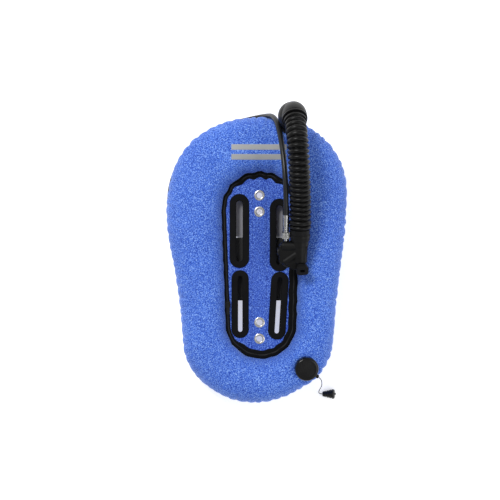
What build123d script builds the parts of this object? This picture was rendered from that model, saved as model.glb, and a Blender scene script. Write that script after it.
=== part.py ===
from build123d import *
import math
import os

# Donut wing (single-tank buoyancy air cell) lying on its back, tank side down.
# Millimetres. +Z is the diver-side face normal, +Y runs to the top of the wing.
# Everything is drawn about the middle of the air cell with the floor at Z 0,
# and moved by ROW_SHIFT when it is written.

# ---------------------------------------------------------------- driving sizes
ROW_SHIFT = Vector(0, -11.6, 0)

WING_LENGTH = 629.0        # top seam to bottom seam
TUBE_HEIGHT = 100.0        # thickness of the inflated tube
TUBE_ROUND = 38.0          # rounding of the tube's four long edges
COVER_WALL = 2.0           # padded outer fabric
BLADDER_GAP = 0.5          # between fabric and bladder
BLADDER_WALL = 1.0

CROWN_RADIUS = 343.0       # outline arcs, from the top round to the bottom
SHOULDER_RADIUS = 181.0
HIP_RADIUS = 122.5
FOOT_RADIUS = 182.5
CROWN_END_ANGLE = 83.8     # where the crown arc meets the shoulder arc
FOOT_END_ANGLE = 47.6      # where the foot arc meets the hip arc

PANEL_TOP = Vector(8, 107)      # centre panel: two round ends and straight sides
PANEL_TOP_RADIUS = 84.0
PANEL_BOTTOM = Vector(10, -141)
PANEL_BOTTOM_RADIUS = 77.0
PANEL_FRONT_LAYER = 1.5
PANEL_STIFFENER = 3.0

SLOT_TRIM_HEIGHT = 3.0
SLIT_CLEAR = 1.0           # panel cut-out beyond the trim's own slit

GROMMET_SPACING = 279.4    # 11 inch backplate bolt spacing
GROMMET_HOLE = 6.35        # radius
GROMMET_BARREL = 7.3
GROMMET_FLANGE = 12.0

ZIPPER_TAPE_WIDTH = 10.0
ZIPPER_COIL_WIDTH = 5.0
ZIPPER_COIL_HEIGHT = 2.0

ELBOW_RADIUS = 27.0
ELBOW_BORE = 20.0
ELBOW_BEND = 30.0
STEM_RADIUS = 17.0

HOSE_RADIUS = 23.0         # corrugated hose
HOSE_BORE = 18.0
LP_RADIUS = 5.75           # low pressure hose
LP_BORE = 2.5

INFLATOR_TILT = 16.0       # the inflator's free end dips by this angle
FIT = 0.3                  # clearance between pieces that move apart

MID = TUBE_HEIGHT / 2
HALF_LENGTH = WING_LENGTH / 2

nodes = {}
cord_nodes = [
    "lp_hose_front", "lp_hose_back", "first_stage_fitting", "fitting_oring",
    "pull_cord", "pull_knob",
]


# ---------------------------------------------------------------- helpers
def polar(centre, radius, angle):
    """Point on a circle, with the angle in degrees from +X."""
    return Vector(
        centre.X + radius * math.cos(math.radians(angle)),
        centre.Y + radius * math.sin(math.radians(angle)),
    )


def arc(centre, radius, start, end):
    """Arc from one angle to another through the angle half way."""
    middle = (start + end) / 2
    return ThreePointArc(
        polar(centre, radius, start),
        polar(centre, radius, middle),
        polar(centre, radius, end),
    )


def tangent_angle(first, first_radius, second, second_radius, side):
    """Angle at which one straight line touches two circles on the given side."""
    apart = second - first
    lean = math.degrees(math.acos((first_radius - second_radius) / apart.length))
    return math.degrees(math.atan2(apart.Y, apart.X)) + side * lean


def tapered_slot(top, top_radius, bottom, bottom_radius):
    """Face bounded by two round ends and the two lines that touch both."""
    right = tangent_angle(top, top_radius, bottom, bottom_radius, 1)
    left = tangent_angle(top, top_radius, bottom, bottom_radius, -1)
    over = arc(top, top_radius, right, left + 360)
    under = arc(bottom, bottom_radius, left, right)
    return make_face([
        over,
        Line(over @ 1, under @ 0),
        under,
        Line(under @ 1, over @ 0),
    ])


def wing_outline(inset):
    """The air cell's egg-shaped outline, moved inward by the inset."""
    crown = Vector(0, HALF_LENGTH - CROWN_RADIUS)
    foot = Vector(0, FOOT_RADIUS - HALF_LENGTH)
    shoulder = polar(crown, CROWN_RADIUS - SHOULDER_RADIUS, CROWN_END_ANGLE)
    hip = polar(foot, FOOT_RADIUS - HIP_RADIUS, -FOOT_END_ANGLE)
    side = tangent_angle(shoulder, SHOULDER_RADIUS, hip, HIP_RADIUS, 1)
    right = [
        arc(shoulder, SHOULDER_RADIUS - inset, CROWN_END_ANGLE, side),
        arc(hip, HIP_RADIUS - inset, side, -FOOT_END_ANGLE),
    ]
    right.insert(1, Line(right[0] @ 1, right[1] @ 0))
    left = [mirror(edge, about=Plane.YZ) for edge in right]
    crown_arc = arc(crown, CROWN_RADIUS - inset, CROWN_END_ANGLE, 180 - CROWN_END_ANGLE)
    foot_arc = arc(foot, FOOT_RADIUS - inset, -FOOT_END_ANGLE, FOOT_END_ANGLE - 180)
    return make_face([crown_arc, foot_arc] + right + left)


def panel_outline(inset):
    """Outline of the centre panel, which is also the hole in the donut."""
    return tapered_slot(
        PANEL_TOP, PANEL_TOP_RADIUS - inset, PANEL_BOTTOM, PANEL_BOTTOM_RADIUS - inset
    )


def slab(face, low, high):
    """A flat face thickened between two heights."""
    return extrude(Pos(0, 0, low) * face, high - low, dir=(0, 0, 1))


def donut(inset):
    """The inflated tube as one solid ring, with every surface moved inward by the inset."""
    ring = slab(wing_outline(inset) - panel_outline(-inset), inset, TUBE_HEIGHT - inset)
    long_edges = ring.edges().filter_by(Axis.Z, reverse=True)
    return fillet(long_edges, TUBE_ROUND - inset)


def ring(outer, inner, low, high):
    """A round sleeve about +Z between two heights."""
    height = high - low
    sleeve = Cylinder(outer, height) - Cylinder(inner, height + 2)
    return Pos(0, 0, (low + high) / 2) * sleeve


def rod(radius, low, high):
    """A round bar about +Z between two heights."""
    return Pos(0, 0, (low + high) / 2) * Cylinder(radius, high - low)


def spring(radius, wire, turns, low, high):
    """A round-wire compression spring about +Z."""
    rise = high - low - 2 * wire
    path = Helix(rise / turns, rise, radius)
    section = Plane(path @ 0, z_dir=path % 0) * Circle(wire)
    return Pos(0, 0, low + wire) * sweep(section, path)


def frame_at(origin, direction, across=(1, 0, 0)):
    """Location whose +Z is the given direction."""
    return Plane(origin, x_dir=across, z_dir=direction).location


def route_radii(points):
    """Largest tangent arcs that the runs of a route allow, one for each inner point."""
    radii = []
    for before, here, after in zip(points, points[1:], points[2:]):
        first = here - before
        second = after - here
        turn = math.radians(first.get_angle(second))
        shorter = min(first.length, second.length)
        radii.append(0.45 * shorter / math.tan(turn / 2))
    return radii


def tube_along(name, points, outer, inner):
    """A hose or cord: straight runs joined by tangent arcs, with a round section."""
    points = [Vector(*p) for p in points]
    radii = route_radii(points)
    path = FilletPolyline(*points, radius=radii)
    start = Plane(path @ 0, z_dir=path % 0)
    solid = sweep(start * Circle(outer), path)
    if inner:
        solid -= sweep(start * Circle(inner), path)
    area = math.pi * (outer**2 - inner**2)
    print(
        f"{name}: length {path.length:.1f}, radii", [round(r) for r in radii],
        f"volume over section x length {solid.volume / (area * path.length):.4f}",
    )
    return solid


def add(name, *shapes):
    """Keep the shapes as one named node."""
    flat = []
    for shape in shapes:
        flat += list(shape.solids())
    nodes[name] = flat


# ---------------------------------------------------------------- ports in the air cell
# inflation port on the upper rim, and dump valve on the lower right rim
STEM_AXIS = Vector(0.08, 0.70, 0.70).normalized()
PORT = Vector(74.5, 290, 89)
OUTLET_AXIS = Vector(0.06, -0.70, 0.70)
OUTLET_AXIS = (OUTLET_AXIS - STEM_AXIS * OUTLET_AXIS.dot(STEM_AXIS)).normalized()

DUMP = Vector(106.4, -234.6, TUBE_HEIGHT)
DUMP_TILT = 8.0
DUMP_OUTWARD = Vector(0.749, -0.663, 0)
DUMP_AXIS = (
    DUMP_OUTWARD * math.sin(math.radians(DUMP_TILT))
    + Vector(0, 0, math.cos(math.radians(DUMP_TILT)))
)
DUMP_STEM = 15.5

port_frame = frame_at(PORT, STEM_AXIS)
dump_frame = frame_at(DUMP, DUMP_AXIS, across=DUMP_OUTWARD.cross(DUMP_AXIS))
port_holes = [
    port_frame * rod(STEM_RADIUS + FIT, -40, 30),
    dump_frame * rod(DUMP_STEM + FIT, -30, 30),
]
envelope = donut(0)


def air_cell():
    """Front and back fabric covers, and the sealed bladder inside them."""
    fabric = envelope - donut(COVER_WALL) - port_holes[0] - port_holes[1]
    block = Box(600, 900, MID, align=(Align.CENTER, Align.CENTER, Align.MIN))
    add("front_cover", fabric & (Pos(0, 0, MID) * block))
    add("back_cover", fabric & block)
    outside = COVER_WALL + BLADDER_GAP
    bladder = donut(outside) - donut(outside + BLADDER_WALL)
    add("bladder", bladder - port_holes[0] - port_holes[1])
    skin = donut(-0.5) - envelope
    stripes = []
    for centre_y, width in ((242, 12), (221, 12)):
        band = Pos(5, centre_y, TUBE_HEIGHT) * Box(119, width, 60)
        stripes.append(skin & band)
    add("reflective_stripes", *stripes)


# ---------------------------------------------------------------- centre panel
class Slot:
    """One strap slot: an oval trim round a narrow slit."""

    def __init__(self, name, x, y, trim_width, trim_length, slit_width, slit_length, tilt):
        self.name = name
        self.place = Pos(x, y, 0) * Rot(0, 0, tilt)
        self.trim_size = (trim_length, trim_width)
        self.slit_size = (slit_length, slit_width)

    def oval(self, size, grow=0):
        length, width = size
        return self.place * SlotOverall(length + 2 * grow, width + 2 * grow, rotation=90)

    def trim(self, low, high):
        return slab(self.oval(self.trim_size) - self.oval(self.slit_size), low, high)


SLOTS = [
    Slot("upper_left", -37.4, 61.6, 41, 161, 14, 134, 0),
    Slot("upper_right", 50.6, 52.8, 41, 158, 14, 131, 0),
    Slot("lower_left", -35.8, -99, 36, 147, 9.5, 123, 0),
    Slot("lower_right", 48, -102.5, 37, 147, 9.5, 123, -3.5),
]
PANEL_MIDDLE_X = 6.5
GROMMET_TOPS = [140.0, 104.0]
PANEL_THICK = 2 * PANEL_FRONT_LAYER + PANEL_STIFFENER
PANEL_LOW = MID - PANEL_THICK / 2
PANEL_HIGH = MID + PANEL_THICK / 2


def grommet_places():
    """The two pairs of grommets, each pair one backplate spacing apart."""
    heights = GROMMET_TOPS + [top - GROMMET_SPACING for top in GROMMET_TOPS]
    return [Pos(PANEL_MIDDLE_X, y, 0) for y in heights]


def centre_panel():
    """Three layers with four strap slots and four grommet holes."""
    def layer(inset, low, high):
        face = panel_outline(inset)
        for slot in SLOTS:
            face -= slot.oval(slot.slit_size, SLIT_CLEAR)
        for place in grommet_places():
            face -= place * Circle(GROMMET_BARREL + 0.05)
        return slab(face, low, high)

    core_low = PANEL_LOW + PANEL_FRONT_LAYER
    core_high = PANEL_HIGH - PANEL_FRONT_LAYER
    add("center_panel_front", layer(0, core_high, PANEL_HIGH))
    add("center_panel_stiffener", layer(10, core_low, core_high))
    add("center_panel_back", layer(0, PANEL_LOW, core_low))
    for slot in SLOTS:
        trim = slot.trim(PANEL_HIGH, PANEL_HIGH + SLOT_TRIM_HEIGHT)
        add(f"slot_trim_{slot.name}", trim)
    add("slot_trims_back", *[s.trim(PANEL_LOW - SLOT_TRIM_HEIGHT, PANEL_LOW) for s in SLOTS])


def grommets():
    """Rolled grommets from the front and their washers on the back."""
    flange_high = PANEL_HIGH + 1.4
    washer_low = PANEL_LOW - 1.2
    eyelet = ring(GROMMET_FLANGE, GROMMET_HOLE, PANEL_HIGH, flange_high)
    outer_rim = eyelet.edges().filter_by(GeomType.CIRCLE).group_by(Axis.Z)[-1]
    eyelet = fillet(outer_rim.sort_by(SortBy.RADIUS)[-1], 1.2)
    eyelet += ring(GROMMET_BARREL, GROMMET_HOLE, washer_low - 0.6, PANEL_HIGH)
    washer = ring(GROMMET_FLANGE, GROMMET_BARREL, washer_low, PANEL_LOW)
    add("grommets", *[place * eyelet for place in grommet_places()])
    add("grommet_washers", *[place * washer for place in grommet_places()])


def tank_pads():
    """Non-slip pads on the tank side, held along their middle."""
    def pad(low_y, high_y):
        width = 112
        length = high_y - low_y
        plate = fillet(Box(width, length, 8).edges().filter_by(Axis.Z), 10)
        rib = Box(32, length - 20, 12.5)
        place = Pos(PANEL_MIDDLE_X, (low_y + high_y) / 2, PANEL_LOW)
        return place * (Pos(0, 0, -16.5) * plate + Pos(0, 0, -6.25) * rib)

    # the washers stand clear in round pockets of the upper pad
    lower = pad(-92, 48)
    upper = pad(48.5, 138)
    pockets = [place * rod(GROMMET_FLANGE + 1, -1, PANEL_LOW) for place in grommet_places()]
    for pocket in pockets:
        upper -= pocket
    add("tank_pad_upper", upper)
    add("tank_pad_lower", lower)


# ---------------------------------------------------------------- zipper
def panel_side():
    """The straight left side of the panel: its lower and upper touching points, at an inset."""
    angle = tangent_angle(PANEL_TOP, PANEL_TOP_RADIUS, PANEL_BOTTOM, PANEL_BOTTOM_RADIUS, -1)
    inset = ZIPPER_TAPE_WIDTH / 2 + 0.5
    low = polar(PANEL_BOTTOM, PANEL_BOTTOM_RADIUS - inset, angle)
    high = polar(PANEL_TOP, PANEL_TOP_RADIUS - inset, angle)
    return low, high


ZIPPER_LOW, ZIPPER_HIGH = panel_side()
ZIPPER_RUN = (ZIPPER_HIGH - ZIPPER_LOW).normalized()
SLIDER_FROM_LOW = 44.0
SLIDER_LENGTH = 15.0
TAPE_TOP = PANEL_HIGH + 1.2
COIL_TOP = TAPE_TOP + ZIPPER_COIL_HEIGHT
SLIDER_AT = ZIPPER_LOW + ZIPPER_RUN * SLIDER_FROM_LOW
PULL_PIN = SLIDER_AT + ZIPPER_RUN * 3 + Vector(0, 0, COIL_TOP + 5.2)


def zipper():
    """Zip loop round the centre panel, its slider and its hinged pull."""
    def band(middle, width, low, high):
        face = panel_outline(middle - width / 2) - panel_outline(middle + width / 2)
        return slab(face, low, high)

    middle = ZIPPER_TAPE_WIDTH / 2 + 0.5
    add("zipper_tape", band(middle, ZIPPER_TAPE_WIDTH, PANEL_HIGH, TAPE_TOP))
    add("zipper_coil", band(middle, ZIPPER_COIL_WIDTH, TAPE_TOP, COIL_TOP))

    lean = math.degrees(math.atan2(ZIPPER_RUN.Y, ZIPPER_RUN.X)) - 90
    place = Pos(SLIDER_AT.X, SLIDER_AT.Y, 0) * Rot(0, 0, lean)
    height = COIL_TOP + 3 - TAPE_TOP - FIT
    body = Pos(0, 0, TAPE_TOP + FIT + height / 2) * Box(11, SLIDER_LENGTH, height)
    body = fillet(body.edges().filter_by(Axis.Z), 3)
    channel_width = ZIPPER_COIL_WIDTH + 2 * FIT
    channel_height = ZIPPER_COIL_HEIGHT + FIT
    body -= Pos(0, 0, TAPE_TOP + channel_height / 2) * Box(channel_width, 40, channel_height)
    pin_height = PULL_PIN.Z
    lug = Pos(0, 3, (COIL_TOP + 3 + pin_height + 1.8) / 2)
    lug_tall = pin_height + 1.8 - (COIL_TOP + 3)
    for side in (-1, 1):
        body += lug * Pos(side * 3.6, 0, 0) * Box(1.6, 4.5, lug_tall)
    pin = Pos(0, 3, pin_height) * Rot(0, 90, 0) * Cylinder(0.9, 8)
    add("zipper_slider", place * (body + pin))

    eye = Pos(0, 3, pin_height) * Rot(0, 90, 0) * ring(2.2, 1.0, -2.4, 2.4)
    tab = Pos(0, -10.5, pin_height) * Box(7, 24, 1.8)
    tab = fillet(tab.edges().filter_by(Axis.Z), 2.5)
    neck_clear = Pos(0, 3, pin_height) * Box(40, 7, 10)
    neck = Pos(0, -0.2, pin_height) * Box(4.4, 4, 1.8)
    add("zipper_pull", place * ((tab - neck_clear) + neck + eye))


# ---------------------------------------------------------------- inflation elbow
ELBOW_FOOT = 17.0
BEND_START = PORT + STEM_AXIS * ELBOW_FOOT
BEND_END = BEND_START + (STEM_AXIS + OUTLET_AXIS) * ELBOW_BEND
COLLAR = 8.0
DOME_CENTRE = Vector(75.8, 306.5, 123)      # swelling on the outside of the bend
DOME_RADIUS = 30.5
HOSE_START = BEND_END + OUTLET_AXIS * COLLAR
LIFT_AXIS = HOSE_START + STEM_AXIS * (HOSE_RADIUS + 1.2)


def elbow():
    """Right-angle elbow, its nut, the flange on the fabric and the flange in the bladder."""
    saddle = port_frame * ring(29, STEM_RADIUS + 0.1, -17, 5)
    add("elbow_flange", saddle - envelope)
    inside = port_frame * (ring(25, 12, -17.5, -15) + ring(STEM_RADIUS, 12, -15.5, 14))
    add("bladder_port", inside)
    add("port_gasket", port_frame * ring(21, STEM_RADIUS + 0.1, 5, 6.5))
    grips = ring(26.5, STEM_RADIUS + 0.1, 6.5, ELBOW_FOOT - 3)
    notch = Cylinder(2.2, 60)
    for step in range(18):
        grips -= Rot(0, 0, step * 20) * Pos(27.6, 0, 10) * notch
    add("elbow_nut", port_frame * grips)

    sideways = STEM_AXIS.cross(OUTLET_AXIS)
    bend_centre = BEND_START + OUTLET_AXIS * ELBOW_BEND
    middle = bend_centre + (STEM_AXIS - OUTLET_AXIS).normalized() * ELBOW_BEND
    path = ThreePointArc(BEND_START, middle, BEND_END)
    start = Plane(BEND_START, x_dir=sideways, z_dir=STEM_AXIS)
    body = sweep(start * Circle(ELBOW_RADIUS), path)
    bore = sweep(start * Circle(ELBOW_BORE), path)
    foot = port_frame * ring(ELBOW_RADIUS, ELBOW_BORE, ELBOW_FOOT - 3, ELBOW_FOOT)
    outlet = frame_at(BEND_END, OUTLET_AXIS, sideways)
    above_foot = port_frame * Pos(0, 0, ELBOW_FOOT - 3 + 50) * Box(100, 100, 100)
    behind_outlet = outlet * Pos(0, 0, COLLAR - 1 - 50) * Box(100, 100, 100)
    dome = Pos(*DOME_CENTRE) * Sphere(DOME_RADIUS) & above_foot & behind_outlet
    collar = outlet * ring(ELBOW_RADIUS, ELBOW_BORE, 0, COLLAR)
    groove = outlet * ring(ELBOW_RADIUS + 1, ELBOW_RADIUS - 1, 2.2, 3.4)
    shell = body + dome - bore - port_frame * rod(ELBOW_BORE, 0, ELBOW_FOOT)
    shell -= outlet * rod(ELBOW_BORE, -0.01, COLLAR)
    add("elbow", shell + foot + collar - groove)


# ---------------------------------------------------------------- corrugated hose
INFLATOR_AT = Vector(92.5, 64.7, 133)
INFLATOR = Pos(*INFLATOR_AT) * Rot(INFLATOR_TILT, 0, 0)
INFLATOR_Y = Vector(
    0, math.cos(math.radians(INFLATOR_TILT)), math.sin(math.radians(INFLATOR_TILT))
)
HOSE_END_GAP = 0.5


def hose_points():
    """Route of the corrugated hose from the elbow, over the rim, to the inflator."""
    return [
        HOSE_START + OUTLET_AXIS * HOSE_END_GAP,
        HOSE_START + OUTLET_AXIS * 34,
        (85.8, 237.5, 184.0),
        (88.2, 197.0, 181.5),
        (90.6, 152.0, 164.0),
        INFLATOR_AT + INFLATOR_Y * 44,
        INFLATOR_AT,
    ]


def corrugated_hose():
    hose = tube_along("corrugated_hose", hose_points(), HOSE_RADIUS, HOSE_BORE)
    add("corrugated_hose", hose)
    points = [Vector(*p) for p in hose_points()]
    first = (points[1] - points[0]).normalized()
    band = frame_at(points[0] + first * 5, first) * ring(24.2, HOSE_RADIUS, 0, 5)
    add("hose_clamp_upper", band)


# ---------------------------------------------------------------- power inflator
# inflator frame: +Y up the hose, +Z away from the wing, origin at the hose's end
ARM_X = -30.5              # low pressure inlet, beside the main tube
BODY_HALF = 11.0
BUTTON_RADIUS = 8.0
BUTTON_TRAVEL = 3.0
INFLATE_Y = -50.0
DIAGONAL_HIGH = Vector(-45, -70)
DIAGONAL_LOW = Vector(-14, -89)
DIAGONAL_OUT = Vector(DIAGONAL_LOW.Y - DIAGONAL_HIGH.Y, -(DIAGONAL_LOW.X - DIAGONAL_HIGH.X))
DIAGONAL_OUT = DIAGONAL_OUT.normalized()
DEFLATE_AT = (DIAGONAL_HIGH + DIAGONAL_LOW) * 0.5
MOUTH_AXIS = Vector(0.05, -0.45, 0.89).normalized()
MOUTH_AT = Vector(3.5, -74, 0)


def along_y(shape):
    """Turn a shape drawn about +Z so that it lies about +Y."""
    return Rot(-90, 0, 0) * shape


inflate_frame = Pos(-45, INFLATE_Y, 0) * Rot(0, -90, 0)
deflate_frame = frame_at(DEFLATE_AT, DIAGONAL_OUT, (0, 0, 1))
mouth_frame = frame_at(MOUTH_AT, MOUTH_AXIS, (1, 0, 0))


def inflator_body():
    """Moulded body: hose barb, main tube, valve arm and the stub for the mouthpiece."""
    outline = Polyline(
        (17, -32), (14.5, -52), (12, -62), (12, -80), (4, -88), DIAGONAL_LOW,
        DIAGONAL_HIGH, (-45, -36), (-39, -31), (-21, -29), (-14, -27), close=True,
    )
    block = extrude(Plane.XY * make_face(outline), BODY_HALF, both=True)
    block = fillet(block.edges().filter_by(Axis.Z, reverse=True), 3)
    inlet = Pos(-19, -36.5, 5) * Rot(0, 90, 0) * fillet(Cylinder(10, 42).edges(), 4)
    outlet = Pos(-20, -63, 5) * Rot(0, 0, 35.5) * Rot(0, 90, 0) * fillet(Cylinder(9, 38).edges(), 4)
    main = Pos(0, -55, 0) * along_y(Cylinder(16, 42))
    main = fillet(main.edges().group_by(Axis.Y)[0], 6)
    shoulder = Pos(0, -30, 0) * along_y(Cylinder(18.5, 10))
    barb = Pos(0, -6, 0) * along_y(Cylinder(17.8, 40))
    body = block + main + shoulder + barb + inlet + outlet
    body += mouth_frame * Box(16, 14, 22, align=(Align.CENTER, Align.CENTER, Align.MIN))
    body -= Pos(0, -25, 0) * along_y(Cylinder(12.5, 100))
    body -= mouth_frame * Pos(0, 0, 15) * Box(11, 8, 50)
    body -= inflate_frame * rod(BUTTON_RADIUS + FIT, -12, 5)
    body -= deflate_frame * rod(BUTTON_RADIUS + FIT, -12, 5)
    body -= Pos(ARM_X, -34, 0) * along_y(Cylinder(5, 18))
    add("inflator_body", INFLATOR * body)


def inflator_fittings():
    """Everything carried by the inflator body that doesn't move on it."""
    def about_y(x, shape):
        return INFLATOR * Pos(x, 0, 0) * along_y(shape)

    add("hose_cuff", about_y(0, ring(20.5, 17.85, -24.9, -1)))
    add("cable_tie", about_y(0, ring(21.7, 20.5, -17, -12)))
    add("hose_clamp_lower", about_y(0, ring(23.8, HOSE_RADIUS, 12, 16)))
    nipple = ring(5, 2, -42, -28) + ring(4.2, 2, -28, -1) - ring(6, 3.5, -9, -7)
    add("qd_nipple", about_y(ARM_X, nipple))
    add("nipple_oring", about_y(ARM_X, ring(4.22, 3.52, -8.8, -7.2)))
    add("valve_core", about_y(ARM_X, ring(1.95, 0.8, -41, -20)))
    lip = Box(26, 23, 5, align=(Align.CENTER, Align.CENTER, Align.MIN))
    lip = Pos(0, 0, 23) * fillet(lip.edges().filter_by(Axis.Z), 7)
    throat = Box(21, 18, 10, align=(Align.CENTER, Align.CENTER, Align.MIN))
    throat = Pos(0, 0, 14) * fillet(throat.edges().filter_by(Axis.Z), 5)
    opening = fillet(Box(11, 8, 60).edges().filter_by(Axis.Z), 3.5)
    stub = Box(16.2, 14.2, 44.1)
    mouthpiece = INFLATOR * mouth_frame * (lip + throat - opening - stub)
    add("mouthpiece", mouthpiece - nodes["inflator_body"][0])
    spring_high = -5.5 - BUTTON_TRAVEL
    add("inflate_spring", INFLATOR * inflate_frame * spring(4, 0.5, 2, -12, spring_high))
    add("deflate_spring", INFLATOR * deflate_frame * spring(4, 0.5, 2, -12, spring_high))


def buttons():
    """Inflate and deflate buttons, each standing proud of its bore."""
    cap = rod(BUTTON_RADIUS, -5.5 - BUTTON_TRAVEL, 3.5)
    cap = fillet(cap.edges().group_by(Axis.Z)[-1], 1.5)
    add("inflate_button", INFLATOR * inflate_frame * cap)
    add("deflate_button", INFLATOR * deflate_frame * cap)


# ---------------------------------------------------------------- low pressure line
LP_TOP = 31.0              # where the hose leaves its ferrule, in the inflator frame
LP_START = Vector(*(INFLATOR * Pos(ARM_X, LP_TOP, 0)).position)
LP_CUT = Vector(43.5, 290.0, 113.2)
SHOULDER_CENTRE = polar(
    Vector(0, HALF_LENGTH - CROWN_RADIUS), CROWN_RADIUS - SHOULDER_RADIUS, CROWN_END_ANGLE
)
SHOULDER_LEFT = Vector(-SHOULDER_CENTRE.X, SHOULDER_CENTRE.Y)


def under_rim(angle, inset, height):
    """Point below the overhang of the upper left shoulder, inside its outline."""
    spot = polar(SHOULDER_LEFT, SHOULDER_RADIUS - inset, angle)
    return (spot.X, spot.Y, height)


def lp_points():
    """Whole route of the low pressure hose, from its ferrule to the first-stage fitting."""
    return [
        LP_START,
        LP_START + INFLATOR_Y * 40,
        (58.5, 176.0, 156.0),
        (53.5, 220.0, 146.0),
        (48.0, 262.0, 128.0),
        (42.0, 299.0, 108.5),
        (33.0, 319.5, 78.0),
        (19.0, 321.5, 42.0),
        (-8.5, 317.5, 16.0),
        (-44.0, 307.5, 6.8),
        under_rim(107, 6.0, 6.2),
        under_rim(120, 6.0, 6.5),
        under_rim(133, 6.0, 6.5),
        under_rim(146, 5.5, 6.6),
        under_rim(159, 5.0, 6.8),
        under_rim(172, 4.0, 7.1),
        under_rim(184.5, 3.2, 7.4),
        (-191.1, 84.3, 7.4),
    ]


def coupler():
    """Quick-disconnect coupler and crimped ferrule on the inflator's nipple."""
    def about_y(shape):
        return INFLATOR * Pos(ARM_X, 0, 0) * along_y(shape)

    body = ring(5.3, 4.3, -20, 0) + ring(5.3, 1.5, 0, 10) + ring(6.2, 1.5, 6, 9.5)
    add("coupler_body", about_y(body))
    sleeve = ring(8.8, 5.35, -20.6, -7)
    knurl = Cylinder(0.9, 60)
    for step in range(20):
        sleeve -= Rot(0, 0, step * 18) * Pos(9.1, 0, 0) * knurl
    add("coupler_sleeve", about_y(sleeve))
    add("coupler_spring", about_y(spring(6.3, 0.45, 3, -6.9, 5.9)))
    ferrule = ring(6.5, 1.5, 10, LP_TOP)
    for groove in (14, 17, 20, 23):
        ferrule -= ring(7.5, 6.0, groove, groove + 1)
    add("lp_ferrule", about_y(ferrule))


def lp_hose():
    """The hose as two solids that part at the rim when the corrugated hose is lifted."""
    whole = tube_along("lp_hose", lp_points(), LP_RADIUS, LP_BORE)
    across = Vector(0, LIFT_AXIS.Z - LP_CUT.Z, LP_CUT.Y - LIFT_AXIS.Y).normalized()
    side = Box(400, 400, 400, align=(Align.CENTER, Align.CENTER, Align.MIN))
    above = Pos(0, 0, TUBE_HEIGHT) * side
    front = frame_at(LP_CUT - across * 0.2, across * -1) * side & above
    gap = frame_at(LP_CUT + across * 0.2, across * -1) * side & above
    add("lp_hose_front", whole & front)
    add("lp_hose_back", whole - gap)

    points = [Vector(*p) for p in lp_points()]
    end = (points[-1] - points[-2])
    end = Vector(end.X, end.Y, 0).normalized()
    seat = frame_at(points[-1], end, (0, 0, 1))
    hexagon = extrude(RegularPolygon(7, 6, major_radius=False, rotation=30), 10)
    fitting = ring(7, 1.5, 0, 18) + Pos(0, 0, 18) * hexagon + ring(3.9, 1.5, 28, 30.4)
    fitting += ring(4.76, 1.5, 30.4, 38)
    fitting -= ring(8, 6.4, 5, 6.5) + ring(8, 6.4, 11, 12.5)
    fitting -= rod(1.5, -1, 40)
    add("first_stage_fitting", seat * fitting)
    add("fitting_oring", seat * ring(5.4, 3.9, 28, 29.8))


# ---------------------------------------------------------------- dump valve
KNOB_START = Vector(148.5, -302.5, 5.9)
KNOB_LENGTH = 27.0
KNOB_END_RADIUS = 12.0
KNOB_NECK_RADIUS = 5.5
KNOB_AXIS = Vector(
    1, 0.03, (KNOB_END_RADIUS - KNOB_NECK_RADIUS) / KNOB_LENGTH
).normalized()
GUIDE_DIRECTION = Vector(0.81, -0.59, 0)
GUIDE_DIRECTION = (GUIDE_DIRECTION - DUMP_AXIS * GUIDE_DIRECTION.dot(DUMP_AXIS)).normalized()
GUIDE_AT = DUMP + DUMP_AXIS * 8
GUIDE_OUT = GUIDE_AT + GUIDE_DIRECTION * 31.5


def dump_valve():
    """Pull dump: flanges, seat, sprung poppet, vented cap and cord guide."""
    inner = ring(24, 11, -16, -13) + ring(DUMP_STEM, 11, -13, 2)
    add("dump_inner_flange", dump_frame * inner)
    gasket = dump_frame * ring(25, DUMP_STEM + FIT, -5, 1.2)
    add("dump_gasket", gasket - envelope)
    cap = rod(25.5, 2, 18)
    cap = fillet(cap.edges().group_by(Axis.Z)[-1], 5)
    cap -= ring(18.5, 16.5, 17, 19) + rod(16.5, 17.4, 19)
    cap -= rod(21.5, 1, 14.5)
    base = ring(25.5, DUMP_STEM + 0.1, 1.2, 2)
    cap += base
    for step in range(10):
        window = Rot(0, 0, step * 36 + 18) * Pos(24, 0, 9.5) * Box(12, 6, 5)
        cap -= window
    housing = dump_frame * cap
    guide_frame = frame_at(GUIDE_AT, GUIDE_DIRECTION, DUMP_AXIS)
    housing -= guide_frame * rod(4.0, 18, 40)
    add("dump_housing", housing)
    add("cord_guide", guide_frame * ring(4.0, 1.6, 21.6, 31.5))
    poppet = rod(12.5, 3, 5) + rod(3, 5, 8)
    add("dump_poppet", dump_frame * poppet)
    add("dump_seal", dump_frame * ring(13.5, 10.5, 2.05, 2.95))
    add("dump_spring", dump_frame * spring(6.5, 0.6, 2, 5.1, 14.4))


def pull_cord():
    """Limp cord over the rim to a tapered knob that lies on the floor."""
    route = [
        GUIDE_OUT,
        GUIDE_OUT + GUIDE_DIRECTION * 8,
        (141.0, -266.0, 95.0),
        (142.0, -273.5, 79.0),
        (142.0, -280.5, 59.0),
        (140.8, -286.5, 40.0),
        (139.2, -292.5, 24.0),
        (139.2, -298.5, 11.5),
        (142.0, -302.3, 5.2),
        KNOB_START - KNOB_AXIS * 0.5,
    ]
    add("pull_cord", tube_along("pull_cord", route, 0.9, 0))
    cone = Pos(0, 0, KNOB_LENGTH / 2) * Cone(KNOB_NECK_RADIUS, KNOB_END_RADIUS, KNOB_LENGTH)
    knob = fillet(cone.edges().group_by(Axis.Z)[-1], 4)
    for at in (7, 13, 19):
        radius = KNOB_NECK_RADIUS + (KNOB_END_RADIUS - KNOB_NECK_RADIUS) * at / KNOB_LENGTH
        knob -= ring(radius + 4, radius - 1.2, at, at + 2)
    knob += rod(2, KNOB_LENGTH - 1, KNOB_LENGTH + 2.5)
    add("pull_knob", frame_at(KNOB_START, KNOB_AXIS, (0, 1, 0)) * knob)


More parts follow.
